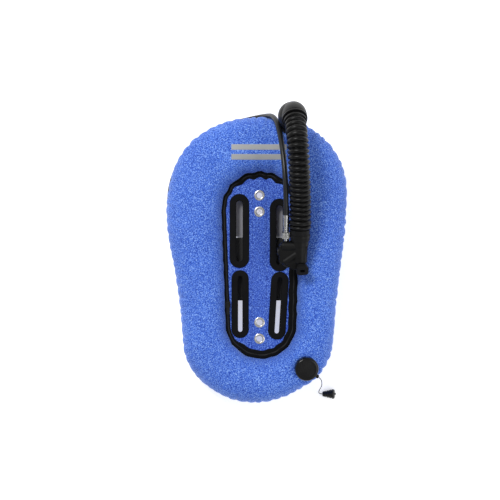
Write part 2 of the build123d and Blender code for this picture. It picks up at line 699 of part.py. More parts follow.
# ---------------------------------------------------------------- build and write
air_cell()
centre_panel()
grommets()
tank_pads()
zipper()
elbow()
corrugated_hose()
inflator_body()
inflator_fittings()
buttons()
coupler()
lp_hose()
dump_valve()
pull_cord()

os.makedirs("parts", exist_ok=True)
low = Vector(1e9, 1e9, 1e9)
high = low * -1
for name, solids in nodes.items():
    whole = Compound(children=[solid.moved(Pos(*ROW_SHIFT)) for solid in solids])
    if len(solids) == 1:
        whole = solids[0].moved(Pos(*ROW_SHIFT))
    export_step(whole, f"parts/{name}.step")
    if name not in cord_nodes:
        box = whole.bounding_box()
        low = Vector(min(low.X, box.min.X), min(low.Y, box.min.Y), min(low.Z, box.min.Z))
        high = Vector(max(high.X, box.max.X), max(high.Y, box.max.Y), max(high.Z, box.max.Z))

print("nodes", len(nodes))
print("box without cords", low, high, "middle", (low + high) * 0.5)
for label, point in (
    ("hose lift axis", LIFT_AXIS),
    ("inflate button", Vector(*(INFLATOR * inflate_frame).position)),
    ("deflate button", Vector(*(INFLATOR * deflate_frame).position)),
    ("zipper pull pin", PULL_PIN),
    ("dump valve", DUMP),
    ("knob", KNOB_START),
):
    print(label, point + ROW_SHIFT)
print("inflator +Y", INFLATOR_Y)
print("deflate axis", (Plane(INFLATOR * deflate_frame).z_dir))
print("zipper run", ZIPPER_RUN, "from low", ZIPPER_LOW + ROW_SHIFT, "to", ZIPPER_HIGH + ROW_SHIFT)
print("dump axis", DUMP_AXIS, "knob axis", KNOB_AXIS)
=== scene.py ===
import math

import bpy
import numpy as np
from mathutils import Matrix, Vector, noise
from mathutils.bvhtree import BVHTree


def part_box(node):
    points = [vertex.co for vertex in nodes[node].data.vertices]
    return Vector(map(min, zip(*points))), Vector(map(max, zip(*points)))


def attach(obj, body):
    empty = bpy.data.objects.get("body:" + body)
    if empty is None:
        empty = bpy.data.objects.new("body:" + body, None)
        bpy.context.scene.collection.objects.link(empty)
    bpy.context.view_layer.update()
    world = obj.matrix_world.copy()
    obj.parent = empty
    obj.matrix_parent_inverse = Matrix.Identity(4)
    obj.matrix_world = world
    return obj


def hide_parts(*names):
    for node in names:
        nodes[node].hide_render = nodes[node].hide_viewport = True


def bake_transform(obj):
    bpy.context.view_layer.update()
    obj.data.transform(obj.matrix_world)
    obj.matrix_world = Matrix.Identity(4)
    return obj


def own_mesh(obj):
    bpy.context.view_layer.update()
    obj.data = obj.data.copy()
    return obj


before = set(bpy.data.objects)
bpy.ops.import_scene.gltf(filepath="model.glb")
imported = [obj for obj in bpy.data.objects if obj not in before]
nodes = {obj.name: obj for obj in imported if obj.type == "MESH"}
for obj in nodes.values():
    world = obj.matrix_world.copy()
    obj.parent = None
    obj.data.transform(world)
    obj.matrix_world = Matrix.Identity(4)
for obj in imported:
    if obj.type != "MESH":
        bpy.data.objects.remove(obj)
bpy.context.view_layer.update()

SHIFT_Y = -11.6     # the CAD script's own frame to the row's frame, in mm
MID = 50.0          # height of the seams, and half the thickness of the air cell
TAU = 2 * math.pi


def place(x, y, z):
    """A point of the CAD script's frame, in mm, as a point of the row's frame, in metres."""
    return Vector((x, y + SHIFT_Y, z)) / 1000


def to_row(points):
    """The same for an array of points."""
    return (np.asarray(points, float) + (0, SHIFT_Y, 0)) / 1000


def smooth(low, high, x):
    t = np.clip((np.asarray(x, float) - low) / (high - low), 0, 1)
    return t * t * (3 - 2 * t)


# ---------------------------------------------------------------- camera, light, floor
scene = bpy.context.scene
scene.view_settings.view_transform = "Standard"

camera = bpy.data.objects.new("camera", bpy.data.cameras.new("camera"))
scene.collection.objects.link(camera)
scene.camera = camera
camera.location = (-0.0143, 0.0082, 2.55)
camera.data.lens = 81.8
camera.data.sensor_width = 36
camera.data.clip_start = 0.05
camera.data.clip_end = 200

world = bpy.data.worlds.new("studio")
world.use_nodes = True
world.node_tree.nodes["Background"].inputs["Color"].default_value = (1, 1, 1, 1)
world.node_tree.nodes["Background"].inputs["Strength"].default_value = 0.5
scene.world = world


def area_light(name, location, target, size, power):
    light = bpy.data.lights.new(name, "AREA")
    light.shape = "DISK"
    light.size = size
    light.energy = power
    lamp = bpy.data.objects.new(name, light)
    lamp.location = location
    lamp.rotation_mode = "QUATERNION"
    lamp.rotation_quaternion = (Vector(target) - Vector(location)).to_track_quat("-Z", "Y")
    scene.collection.objects.link(lamp)


area_light("key", (-1.0, 1.5, 2.3), (0, 0, 0), 0.9, 46)
area_light("fill", (1.6, -0.6, 1.9), (0, 0, 0), 1.6, 14)


# ---------------------------------------------------------------- material kit
def new_material(name):
    mat = bpy.data.materials.new(name)
    mat.use_nodes = True
    tree = mat.node_tree
    shader = tree.nodes["Principled BSDF"]
    return mat, tree, shader


def coords(tree, scale=(1, 1, 1)):
    """Object coordinates in metres, stretched by the scale."""
    source = tree.nodes.new("ShaderNodeTexCoord")
    stretch = tree.nodes.new("ShaderNodeMapping")
    stretch.inputs["Scale"].default_value = scale
    tree.links.new(source.outputs["Object"], stretch.inputs["Vector"])
    return stretch.outputs["Vector"]


def noise_node(tree, vector, scale, detail=2.0, rough=0.5):
    n = tree.nodes.new("ShaderNodeTexNoise")
    n.inputs["Scale"].default_value = scale
    n.inputs["Detail"].default_value = detail
    n.inputs["Roughness"].default_value = rough
    tree.links.new(vector, n.inputs["Vector"])
    return n.outputs["Fac"]


def ramp(tree, value, stops):
    r = tree.nodes.new("ShaderNodeValToRGB")
    elements = r.color_ramp.elements
    elements[0].position, elements[1].position = stops[0][0], stops[-1][0]
    elements[0].color, elements[1].color = (*stops[0][1], 1), (*stops[-1][1], 1)
    for position, colour in stops[1:-1]:
        elements.new(position).color = (*colour, 1)
    tree.links.new(value, r.inputs["Fac"])
    return r.outputs["Color"]


def multiply(tree, a, b):
    m = tree.nodes.new("ShaderNodeMix")
    m.data_type = "RGBA"
    m.blend_type = "MULTIPLY"
    sockets = {s.name: s for s in m.inputs if s.enabled}
    sockets["Factor"].default_value = 1.0
    tree.links.new(a, sockets["A"])
    tree.links.new(b, sockets["B"])
    return next(s for s in m.outputs if s.enabled)


def math_node(tree, operation, a, b):
    m = tree.nodes.new("ShaderNodeMath")
    m.operation = operation
    for i, value in enumerate((a, b)):
        if isinstance(value, bpy.types.NodeSocket):
            tree.links.new(value, m.inputs[i])
        else:
            m.inputs[i].default_value = value
    return m.outputs[0]


def bump(tree, shader, height, strength, distance):
    b = tree.nodes.new("ShaderNodeBump")
    b.inputs["Strength"].default_value = strength
    b.inputs["Distance"].default_value = distance
    tree.links.new(height, b.inputs["Height"])
    tree.links.new(b.outputs["Normal"], shader.inputs["Normal"])


def heather(name, dark, mid, light, pale):
    """Woven nylon of mixed yarns: short streaks both ways, light flecks and a fine weave."""
    mat, tree, shader = new_material(name)
    along = noise_node(tree, coords(tree, (1, 0.55, 1)), 640, 2, 0.6)
    across = noise_node(tree, coords(tree, (0.55, 1, 1)), 640, 2, 0.6)
    yarn = math_node(tree, "MULTIPLY", math_node(tree, "ADD", along, across), 0.5)
    grain = ramp(tree, yarn, [(0.40, dark), (0.475, mid), (0.535, light), (0.60, pale)])
    broad = noise_node(tree, coords(tree), 9, 3)
    tone = ramp(tree, broad, [(0.3, (0.86, 0.86, 0.9)), (0.7, (1.0, 1.0, 1.0))])
    tree.links.new(multiply(tree, grain, tone), shader.inputs["Base Color"])
    weave = noise_node(tree, coords(tree), 1500, 1)
    height = math_node(tree, "ADD", math_node(tree, "MULTIPLY", weave, 0.4), yarn)
    bump(tree, shader, height, 0.35, 0.0006)
    shader.inputs["Roughness"].default_value = 0.82
    shader.inputs["Sheen Weight"].default_value = 0.25
    shader.inputs["Sheen Roughness"].default_value = 0.5
    shader.inputs["Sheen Tint"].default_value = (0.6, 0.75, 1.0, 1)
    shader.inputs["Specular IOR Level"].default_value = 0.25
    return mat


def plastic(name, colour, roughness, grain=900, depth=0.00012, specular=0.5, wear=0.35):
    """Moulded plastic, rubber or coated metal: fine texture, uneven gloss and rubbed patches."""
    mat, tree, shader = new_material(name)
    broad = noise_node(tree, coords(tree), 38, 4)
    pale = tuple(c + wear * 0.02 for c in colour)
    tree.links.new(ramp(tree, broad, [(0.35, colour), (0.75, pale)]), shader.inputs["Base Color"])
    fine = noise_node(tree, coords(tree), grain, 2)
    gloss = math_node(tree, "MULTIPLY", broad, 0.2)
    tree.links.new(math_node(tree, "ADD", gloss, roughness - 0.1), shader.inputs["Roughness"])
    bump(tree, shader, fine, 0.3, depth)
    shader.inputs["Specular IOR Level"].default_value = specular
    return mat


def metal(name, colour, roughness):
    """Plated or bare metal with faint handling marks."""
    mat, tree, shader = new_material(name)
    marks = noise_node(tree, coords(tree), 260, 3)
    dull = tuple(c * 0.82 for c in colour)
    tree.links.new(ramp(tree, marks, [(0.3, dull), (0.6, colour)]), shader.inputs["Base Color"])
    shade = math_node(tree, "MULTIPLY", marks, 0.16)
    tree.links.new(math_node(tree, "ADD", shade, roughness - 0.08), shader.inputs["Roughness"])
    bump(tree, shader, marks, 0.12, 0.0001)
    shader.inputs["Metallic"].default_value = 1.0
    return mat


def woven(name, colour, pale, size=1300):
    """Plain black or grey tape, braid and thread."""
    mat, tree, shader = new_material(name)
    yarn = noise_node(tree, coords(tree), size, 1)
    tree.links.new(ramp(tree, yarn, [(0.35, colour), (0.7, pale)]), shader.inputs["Base Color"])
    bump(tree, shader, yarn, 0.5, 0.0003)
    shader.inputs["Roughness"].default_value = 0.85
    shader.inputs["Specular IOR Level"].default_value = 0.12
    shader.inputs["Sheen Weight"].default_value = 0.04
    return mat


SHELL = heather(
    "heather_shell", (0.015, 0.048, 0.34), (0.041, 0.13, 0.62), (0.085, 0.215, 0.80), (0.30, 0.50, 0.95)
)
PANEL = heather(
    "heather_panel", (0.009, 0.03, 0.25), (0.028, 0.082, 0.47), (0.06, 0.15, 0.64), (0.20, 0.35, 0.82)
)
NEOPRENE = plastic("neoprene", (0.004, 0.004, 0.0045), 0.8, 1600, 0.0003, 0.1, 0.15)
ZIP_TAPE = woven("zip_tape", (0.0015, 0.0015, 0.0018), (0.005, 0.005, 0.0055))
ZIP_COIL = plastic("zip_coil", (0.005, 0.005, 0.0055), 0.45, 1400, 0.00012, 0.25)
ZIP_METAL = plastic("zip_metal", (0.004, 0.004, 0.0045), 0.35, 800, 0.0001, 0.25, 0.2)
HOSE_RUBBER = plastic("hose_rubber", (0.0022, 0.0022, 0.0024), 0.36, 700, 0.0001, 0.2, 0.1)
LP_RUBBER = plastic("lp_rubber", (0.008, 0.009, 0.0105), 0.34, 900, 0.0001, 0.35, 0.25)
SOFT_BLACK = plastic("soft_black", (0.0035, 0.0035, 0.004), 0.55, 900, 0.0001, 0.15, 0.2)
MOULDED = plastic("moulded_black", (0.0028, 0.0028, 0.003), 0.42, 1100, 0.0001, 0.18, 0.15)
GLOSS_BLACK = plastic("gloss_black", (0.0015, 0.0015, 0.0017), 0.2, 1100, 0.00004, 0.3, 0.05)
ELBOW_BLACK = plastic("elbow_black", (0.0045, 0.0045, 0.005), 0.42, 1100, 0.0001, 0.22, 0.2)
BUTTON = plastic("button_grey", (0.005, 0.005, 0.0055), 0.3, 900, 0.0001, 0.35, 0.2)
# the upper tank pad's grey is painted shade: it stands in for the shadowed floor seen through the upper
# slots
SHADE_GREY_PAD = plastic("pad_grey", (0.30, 0.30, 0.33), 0.7, 600, 0.0004)
PAD_BLACK = plastic("pad_black", (0.01, 0.01, 0.011), 0.7, 600, 0.0004)
STIFFENER = plastic("stiffener", (0.02, 0.02, 0.022), 0.6)
CHROME = metal("chrome", (0.42, 0.42, 0.42), 0.24)
NICKEL = metal("nickel", (0.66, 0.65, 0.63), 0.26)
STEEL = metal("steel", (0.5, 0.5, 0.51), 0.32)
REFLECTIVE = plastic("reflective", (0.34, 0.35, 0.36), 0.45, 2200, 0.0002, 0.5, 1.2)
CORD = woven("cord", (0.10, 0.10, 0.105), (0.26, 0.26, 0.27), 1800)
THREAD = woven("thread", (0.02, 0.04, 0.24), (0.06, 0.11, 0.45), 1900)


# ---------------------------------------------------------------- mesh kit
def mesh_object(name, points, faces, material, body, slot):
    """A smooth mesh from points in the CAD script's frame, riding a body if it doesn't blend."""
    mesh = bpy.data.meshes.new(name)
    mesh.from_pydata([tuple(p) for p in to_row(points)], [], faces)
    mesh.materials.append(material)
    mesh.update()
    mesh.shade_smooth()
    made = bpy.data.objects.new(name, mesh)
    scene.collection.objects.link(made)
    if body:
        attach(made, body)
    return made


def grid_faces(rows, columns, close_rows=False, close_columns=False):
    """Quads of a grid of points stored row by row."""
    faces = []
    for i in range(rows if close_rows else rows - 1):
        for j in range(columns if close_columns else columns - 1):
            a, b = i % rows, (i + 1) % rows
            c, d = j % columns, (j + 1) % columns
            faces.append((a * columns + c, b * columns + c, b * columns + d, a * columns + d))
    return faces


def join_parts(parts):
    """Several (points, faces) as one."""
    points, faces, count = [], [], 0
    for part_points, part_faces in parts:
        points.append(np.asarray(part_points, float).reshape(-1, 3))
        faces += [tuple(i + count for i in f) for f in part_faces]
        count += len(points[-1])
    return np.vstack(points), faces


def spline_line(route, count):
    """Points along the order 3 NURBS spline whose control points are the route, in mm."""
    curve = bpy.data.curves.new("route", "CURVE")
    curve.dimensions = "3D"
    curve.resolution_u = 24
    spline = curve.splines.new("NURBS")
    spline.points.add(len(route) - 1)
    for point, p in zip(spline.points, route):
        point.co = (*place(*p), 1)
    spline.order_u = 3
    spline.use_endpoint_u = True
    holder = bpy.data.objects.new("route", curve)
    scene.collection.objects.link(holder)
    line = bpy.data.meshes.new_from_object(holder)
    points = np.array([v.co for v in line.vertices])
    bpy.data.objects.remove(holder)
    bpy.data.meshes.remove(line)
    points = points * 1000 - (0, SHIFT_Y, 0)
    along = np.r_[0, np.cumsum(np.linalg.norm(np.diff(points, axis=0), axis=1))]
    even = np.linspace(0, along[-1], count)
    return np.stack([np.interp(even, along, points[:, i]) for i in range(3)], axis=1)


def frames_along(line):
    """Two unit vectors across the line at each point, carried along without twist."""
    tangents = np.gradient(line, axis=0)
    tangents /= np.linalg.norm(tangents, axis=1)[:, None]
    side = np.array([1.0, 0.0, 0.0])
    sides, ups = [], []
    for t in tangents:
        side = side - t * side.dot(t)
        side /= np.linalg.norm(side)
        sides.append(side)
        ups.append(np.cross(t, side))
    return np.array(sides), np.array(ups)


def tube_part(line, radii, sides):
    """A closed round tube along a line with a radius at each point."""
    right, up = frames_along(line)
    angles = np.linspace(0, TAU, sides, endpoint=False)
    ring = np.cos(angles)[None, :, None] * right[:, None] + np.sin(angles)[None, :, None] * up[:, None]
    points = line[:, None] + ring * np.asarray(radii, float).reshape(-1, 1, 1)
    faces = grid_faces(len(line), sides, close_columns=True)
    last = (len(line) - 1) * sides
    faces += [tuple(range(sides))[::-1], tuple(last + j for j in range(sides))]
    return points.reshape(-1, 3), faces


# ---------------------------------------------------------------- hoses and cord
HOSE_ROUTE = [
    (80.60, 295.82, 149.17), (82.61, 272.06, 172.70), (85.8, 237.5, 184.0), (88.2, 197.0, 181.5),
    (90.6, 152.0, 164.0), (92.5, 107.0, 145.13), (92.5, 64.7, 133.0),
]
LP_ROUTE = [
    (62.0, 94.5, 141.55), (62.0, 132.95, 152.57), (60, 176, 156), (56.5, 220, 146),
    (51, 262, 127), (44, 296, 105), (35, 312, 77), (20, 315.5, 42), (-7.5, 313, 16),
    (-43.5, 305.5, 6.8), (-68.7, 299.9, 6.2), (-105.0, 284.1, 6.5), (-136.8, 260.5, 6.5),
    (-163.0, 230.7, 6.6), (-181.8, 195.6, 6.8), (-192.8, 157.2, 7.1), (-194.7, 118.6, 7.4),
    (-191.1, 84.3, 7.4),
]
PULL_ROUTE = [
    (132.48, -253.66, 103.56), (138.90, -258.31, 102.45), (141, -266, 95), (142, -273.5, 79),
    (142, -280.5, 59), (140.8, -286.5, 40), (139.2, -292.5, 24), (139.2, -298.5, 11.5),
    (142, -302.3, 5.2), (148.0, -302.5, 5.8),
]

RIBS = 23
VALLEY_RADIUS = 17.6
RIB_HEIGHT = 5.4
hose_line = spline_line(HOSE_ROUTE, RIBS * 18 + 1)
hose_turn = np.linspace(0, RIBS, len(hose_line))
from_crest = np.abs(2 * np.mod(hose_turn, 1) - 1)
rib_radius = VALLEY_RADIUS + RIB_HEIGHT * (1 - from_crest**2.4)
rib_radius *= 1 + 0.008 * np.sin(hose_turn * 2.3)
hose = mesh_object(
    "ribbed_hose", *tube_part(hose_line, rib_radius, 72), HOSE_RUBBER, None, "hose_rubber"
)
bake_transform(hose)
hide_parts("corrugated_hose")

LP_RADIUS = 5.75
lp_line = spline_line(LP_ROUTE, 540)
lp_hose = mesh_object(
    "lp_hose", *tube_part(lp_line, np.full(len(lp_line), LP_RADIUS), 28), LP_RUBBER, None, "lp_rubber"
)
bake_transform(lp_hose)
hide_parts("lp_hose_front", "lp_hose_back")

pull_line = spline_line(PULL_ROUTE, 160)
CORD_RADIUS = 0.9
braid = CORD_RADIUS + 0.09 * np.sin(np.arange(len(pull_line)) * 1.9)
pull_cord = mesh_object("pull_line", *tube_part(pull_line, braid, 12), CORD, None, "cord_grey")
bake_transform(pull_cord)
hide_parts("pull_cord")


# ---------------------------------------------------------------- outlines
POINT_STEP = 2.0        # distance between an outline's points, in mm


def arc_points(centre, radius, start, end):
    count = max(2, int(abs(math.radians(end - start)) * radius / POINT_STEP))
    angles = np.radians(np.linspace(start, end, count, endpoint=False))
    ends = np.stack([centre[0] + radius * np.cos(angles), centre[1] + radius * np.sin(angles)], axis=1)
    return ends, np.degrees(angles)


def polar(centre, radius, angle):
    a = math.radians(angle)
    return (centre[0] + radius * math.cos(a), centre[1] + radius * math.sin(a))


def touch_angle(first, first_radius, second, second_radius, side):
    dx, dy = second[0] - first[0], second[1] - first[1]
    lean = math.degrees(math.acos((first_radius - second_radius) / math.hypot(dx, dy)))
    return math.degrees(math.atan2(dy, dx)) + side * lean


def closed_curve(arcs, count):
    """Even points, by a mean of length and turn, clockwise from the top, with outward normals."""
    points, angles = [], []
    for i, (centre, radius, start, end) in enumerate(arcs):
        p, a = arc_points(centre, radius, start, end)
        points.append(p)
        angles.append(a)
        after = arcs[(i + 1) % len(arcs)]
        here, there = polar(centre, radius, end), polar(after[0], after[1], after[2])
        gap = math.hypot(there[0] - here[0], there[1] - here[1])
        if gap > 1:
            t = np.linspace(0, 1, int(gap / POINT_STEP), endpoint=False)[:, None]
            points.append(np.array(here) * (1 - t) + np.array(there) * t)
            angles.append(np.full(len(t), float(end)))
    points, angles = np.vstack(points), np.concatenate(angles)
    points = np.vstack([points, points[:1]])
    angles = np.append(angles, angles[0] - 360)
    length = np.r_[0, np.cumsum(np.linalg.norm(np.diff(points, axis=0), axis=1))]
    share = 0.55 * length / length[-1] + 0.45 * (angles[0] - angles) / 360
    even = np.linspace(0, 1, count, endpoint=False)
    xy = np.stack([np.interp(even, share, points[:, i]) for i in range(2)], axis=1)
    turn = np.radians(np.interp(even, share, angles))
    return xy, np.stack([np.cos(turn), np.sin(turn)], axis=1), np.interp(even, share, length), length[-1]


CROWN, SHOULDER, HIP, FOOT = 343, 181, 122.5, 182.5      # radii of the wing's outline
CROWN_END, FOOT_END = 83.8, -47.6                        # where the crown and foot arcs end
PANEL_TOP, PANEL_TOP_RADIUS = (8, 107), 84
PANEL_BOTTOM, PANEL_BOTTOM_RADIUS = (10, -141), 77


def wing_arcs():
    crown, foot = (0, -28.5), (0, -132)
    shoulder = polar(crown, CROWN - SHOULDER, CROWN_END)
    hip = polar(foot, FOOT - HIP, FOOT_END)
    side = touch_angle(shoulder, SHOULDER, hip, HIP, 1)
    left_shoulder, left_hip = (-shoulder[0], shoulder[1]), (-hip[0], hip[1])
    return [
        (crown, CROWN, 90, CROWN_END), (shoulder, SHOULDER, CROWN_END, side),
        (hip, HIP, side, FOOT_END), (foot, FOOT, FOOT_END, -180 - FOOT_END),
        (left_hip, HIP, -180 - FOOT_END, -180 - side),
        (left_shoulder, SHOULDER, -180 - side, -180 - CROWN_END), (crown, CROWN, -180 - CROWN_END, -270),
    ]


def panel_arcs():
    right = touch_angle(PANEL_TOP, PANEL_TOP_RADIUS, PANEL_BOTTOM, PANEL_BOTTOM_RADIUS, 1)
    left = touch_angle(PANEL_TOP, PANEL_TOP_RADIUS, PANEL_BOTTOM, PANEL_BOTTOM_RADIUS, -1)
    return [
        (PANEL_TOP, PANEL_TOP_RADIUS, 90, right),
        (PANEL_BOTTOM, PANEL_BOTTOM_RADIUS, right, left),
        (PANEL_TOP, PANEL_TOP_RADIUS, left, -270),
    ]


def puckers(total, low, high, deep, shallow, seed):
    """Random gathers along a seam: where each ends, how far it bulges and how deep it runs."""
    rng = np.random.default_rng(seed)
    ends = [0.0]
    while ends[-1] < total - high:
        ends.append(ends[-1] + rng.uniform(low, high))
    ends = np.array(ends + [total])
    return ends, rng.uniform(shallow, deep, len(ends)), rng.uniform(0.5, 1.0, len(ends))


def gather(table, s, soft=False):
    """Bulge between gathers at a length along the seam, with its size and reach."""
    ends, size, reach = table
    s = np.mod(s, ends[-1])
    i = np.clip(np.searchsorted(ends, s, side="right") - 1, 0, len(ends) - 2)
    t = (s - ends[i]) / (ends[i + 1] - ends[i])
    bulge = -0.5 * np.cos(TAU * t) if soft else np.sin(math.pi * t) ** 0.7 - 0.62
    return bulge, size[i], reach[i]


COLUMNS = 960
outer, outer_out, outer_s, outer_total = closed_curve(wing_arcs(), COLUMNS)
inner, inner_out, inner_s, inner_total = closed_curve(panel_arcs(), COLUMNS)
OUTER_GATHERS = puckers(outer_total, 13, 27, 2.7, 1.0, 5)
INNER_GATHERS = puckers(inner_total, 24, 46, 2.6, 0.9, 11)


def steady(xy):
    """1 where the inner seam waves freely, and small along the left side, where the slider runs."""
    on_left = smooth(-50, -64, xy[:, 0]) * smooth(-185, -160, xy[:, 1]) * smooth(125, 100, xy[:, 1])
    return 1 - 0.75 * on_left


def inner_wave(s, xy):
    """Gentle waves of the inner seam, freest along its top."""
    bulge = gather(INNER_GATHERS, s, True)[0]
    return bulge * (1.2 + 2.4 * smooth(120, 165, xy[:, 1])) * steady(xy)


outer_angle = np.degrees(np.arctan2(outer[:, 1] - 19.8, outer[:, 0]))

# how far the filled cell stands out of its plain outline, every 9 degrees from the left
STANDS_OUT = [
    2.0, -1.7, -2.5, -3.8, -4.7, -3.3, -1.5, -0.8, -0.2, 1.6,
    0.7, -1.6, -2.6, 0.7, 4.7, 4.2, 1.6, 1.9, 1.8, 2.0,
    2.8, 2.5, 1.4, -1.3, 1.3, 4.9, 5.7, 4.2, 2.0, -0.8,
    -3.2, -5.1, -5.5, -5.3, -3.8, -4.3, -5.1, -1.0, 3.5, 3.6,
]
lean = np.interp(outer_angle, np.arange(-180, 181, 9), STANDS_OUT + STANDS_OUT[:1])
kernel = np.hanning(25) / np.hanning(25).sum()
lean = np.convolve(np.r_[lean[-12:], lean, lean[:12]], kernel, "valid")


# ---------------------------------------------------------------- air cell
def press(points, normals, line, radius):
    """Dent the cell under a hose that lies on it."""
    for low in range(0, len(line), 12):
        piece = line[low:low + 13]
        near = np.linalg.norm(points - piece[len(piece) // 2], axis=2) < 55
        spots, out = points[near], normals[near]
        gaps = spots[:, None] - piece[None]
        nearest = np.argmin(np.linalg.norm(gaps, axis=2), axis=1)
        gap = gaps[np.arange(len(spots)), nearest]
        rise = np.sum(gap * out, axis=1)
        aside = np.sqrt(np.maximum(np.sum(gap * gap, axis=1) - rise**2, 0))
        room = np.where(aside < 24, 12 * smooth(0, 22, aside) - radius, 1e9)
        points[near] = spots + out * np.minimum(room - rise, 0)[:, None]


SECTION = 88            # points round the tube of the cell
SQUARENESS = 2.35       # exponent of the tube's section, 2 for a plain ellipse
OUTER_REACH, INNER_REACH = 34, 24      # how far gathers run in from the seams, in mm


def air_cell():
    phi = np.linspace(0, TAU, SECTION, endpoint=False)
    sharp = 2 / SQUARENESS
    across = np.sign(np.cos(phi)) * np.abs(np.cos(phi)) ** sharp
    height = np.sign(np.sin(phi)) * np.abs(np.sin(phi)) ** sharp

    bulge, size, _ = gather(OUTER_GATHERS, outer_s)
    seam_out = outer + outer_out * (bulge * size * 1.15 + lean)[:, None]
    seam_in = inner - inner_out * inner_wave(inner_s, inner)[:, None] * 0.6

    middle = (seam_out + seam_in) / 2
    half = (seam_out - seam_in) / 2
    xy = middle[:, None] + half[:, None] * across[None, :, None]
    z = np.broadcast_to(MID + MID * height, (COLUMNS, SECTION))
    points = np.dstack([xy, z])

    # normals of the plain tube carry the creases
    du = np.roll(points, -1, axis=0) - np.roll(points, 1, axis=0)
    dv = np.roll(points, -1, axis=1) - np.roll(points, 1, axis=1)
    normals = np.cross(dv, du)
    normals /= np.linalg.norm(normals, axis=2)[:, :, None] + 1e-9
    outward = np.sum(normals * (points - np.dstack([
        np.broadcast_to(middle[:, None], xy.shape), np.full(z.shape, MID)])), axis=2)
    normals *= np.sign(np.median(outward))

    steps = np.linalg.norm(np.diff(np.concatenate([points, points[:, :1]], axis=1), axis=1), axis=2)
    run = np.concatenate([np.zeros((COLUMNS, 1)), np.cumsum(steps, axis=1)[:, :-1]], axis=1)
    whole = steps.sum(axis=1)[:, None]
    from_outer = np.minimum(run, whole - run)
    from_inner = np.abs(run - run[:, SECTION // 2][:, None])
    front = (phi < math.pi)[None, :]

    wander = np.zeros((COLUMNS, SECTION))
    swell = np.zeros((COLUMNS, SECTION))
    fine = np.zeros((COLUMNS, SECTION))
    for i in range(COLUMNS):
        for j in range(SECTION):
            p = Vector(points[i, j]) / 1000
            wander[i, j] = noise.noise(p * 26 + Vector((3, 1, 7)))
            swell[i, j] = noise.noise(p * 11) + 0.6 * noise.noise(p * 24 + Vector((9, 2, 4)))
            fine[i, j] = noise.noise(p * 70 + Vector((1, 8, 2)))

    s = outer_s[:, None] + wander * (2 + from_outer * 0.28)
    bulge, size, reach = gather(OUTER_GATHERS, s)
    side = np.where(front, 1.0, 0.8)
    points = points + normals * (
        side * bulge * size * 1.25
        * np.exp(-((from_outer / (OUTER_REACH * reach)) ** 1.1))
        * smooth(0, 5, from_outer)
    )[:, :, None]

    s = inner_s[:, None] + wander * (2 + from_inner * 0.22)
    bulge, size, reach = gather(INNER_GATHERS, s)
    points = points + normals * (
        bulge * size * 0.9
        * np.exp(-((from_inner / (INNER_REACH * reach)) ** 1.1))
        * smooth(0, 5, from_inner)
    )[:, :, None]
    free = smooth(2, 14, from_outer) * smooth(2, 14, from_inner)
    points = points + normals * (free * (1.6 * swell + 0.35 * fine) - 0.9)[:, :, None]

    # the sewn lip that stands out along the outer seam
    lip = np.exp(-((from_outer / 1.6) ** 2))
    points[:, :, :2] += outer_out[:, None] * (lip * 1.2)[:, :, None]

    # fabric held flat under the elbow's flange and the dump valve
    for centre, axis, inside, outside in (
        ((74.5, 290, 88.6), (0.0806, 0.7048, 0.7048), 25, 52),
        ((106.4, -234.6, 99.6), (0.104241, -0.092272, 0.990268), 26, 58),
    ):
        c, n = np.array(centre), np.array(axis)
        n = n / np.linalg.norm(n)
        away = np.linalg.norm(points - c, axis=2)
        weight = smooth(outside, inside, away) * front
        off = (points - c) @ n
        points = points - n * (off * weight)[:, :, None]

    over_rim = lp_line[(lp_line[:, 0] > -30) & (lp_line[:, 1] > 270)]
    press(points, normals, over_rim, 6.6)
    points[:, :, 2] = np.clip(points[:, :, 2], 0.15, None)
    return points, grid_faces(COLUMNS, SECTION, True, True)


cell_points, cell_faces = air_cell()
cell = mesh_object(
    "air_cell_cover", cell_points.reshape(-1, 3), cell_faces, SHELL, "wing", "shell_fabric"
)
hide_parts("front_cover", "back_cover", "bladder")
cell_tree = BVHTree.FromPolygons([tuple(p) for p in cell_points.reshape(-1, 3)], cell_faces)


def on_cell(x, y, lift):
    """Point above the front of the air cell."""
    hit = cell_tree.ray_cast(Vector((x, y, 200)), Vector((0, 0, -1)))[0]
    return (x, y, (hit.z if hit else 100) + lift)


# ---------------------------------------------------------------- reflective stripes
STRIPE = 12             # height of a stripe, in mm


def stripes():
    low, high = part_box("reflective_stripes")
    x0, x1 = low.x * 1000, high.x * 1000
    y0, y1 = low.y * 1000 - SHIFT_Y, high.y * 1000 - SHIFT_Y
    parts = []
    for bottom, top in ((y0, y0 + STRIPE), (y1 - STRIPE, y1)):
        rows, columns = 9, 81
        points = []
        for v in np.linspace(bottom, top, rows):
            for u in np.linspace(x0, x1, columns):
                edge = min(u - x0, x1 - u, v - bottom, top - v)
                points.append(on_cell(u, v, 0.1 + 0.3 * min(1, edge / 1.2)))
        parts.append((points, grid_faces(rows, columns)))
    made = mesh_object("reflective_bands", *join_parts(parts), REFLECTIVE, "wing", "reflective")
    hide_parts("reflective_stripes")


stripes()


# ---------------------------------------------------------------- centre panel
PANEL_FRONT, PANEL_BACK = 53.1, 46.9     # heights of the two cloths
LEFT_SEAM, RIGHT_SEAM = -9.5, 22.5       # the front cloth's two long stitch lines
# name, centre, outer width and length, slit width and length, tilt
SLOTS = [
    ("upper_left", -37.4, 61.6, 43.5, 163.5, 14, 134, 0),
    ("upper_right", 50.6, 52.8, 43.5, 160.5, 14, 131, 0),
    ("lower_left", -35.8, -99, 38.5, 149.5, 9.5, 123, 0),
    ("lower_right", 48, -102.5, 39.5, 149.5, 9.5, 123, -3.5),
]
GROMMETS = [(6.5, 140), (6.5, 104), (6.5, -139.4), (6.5, -175.4)]


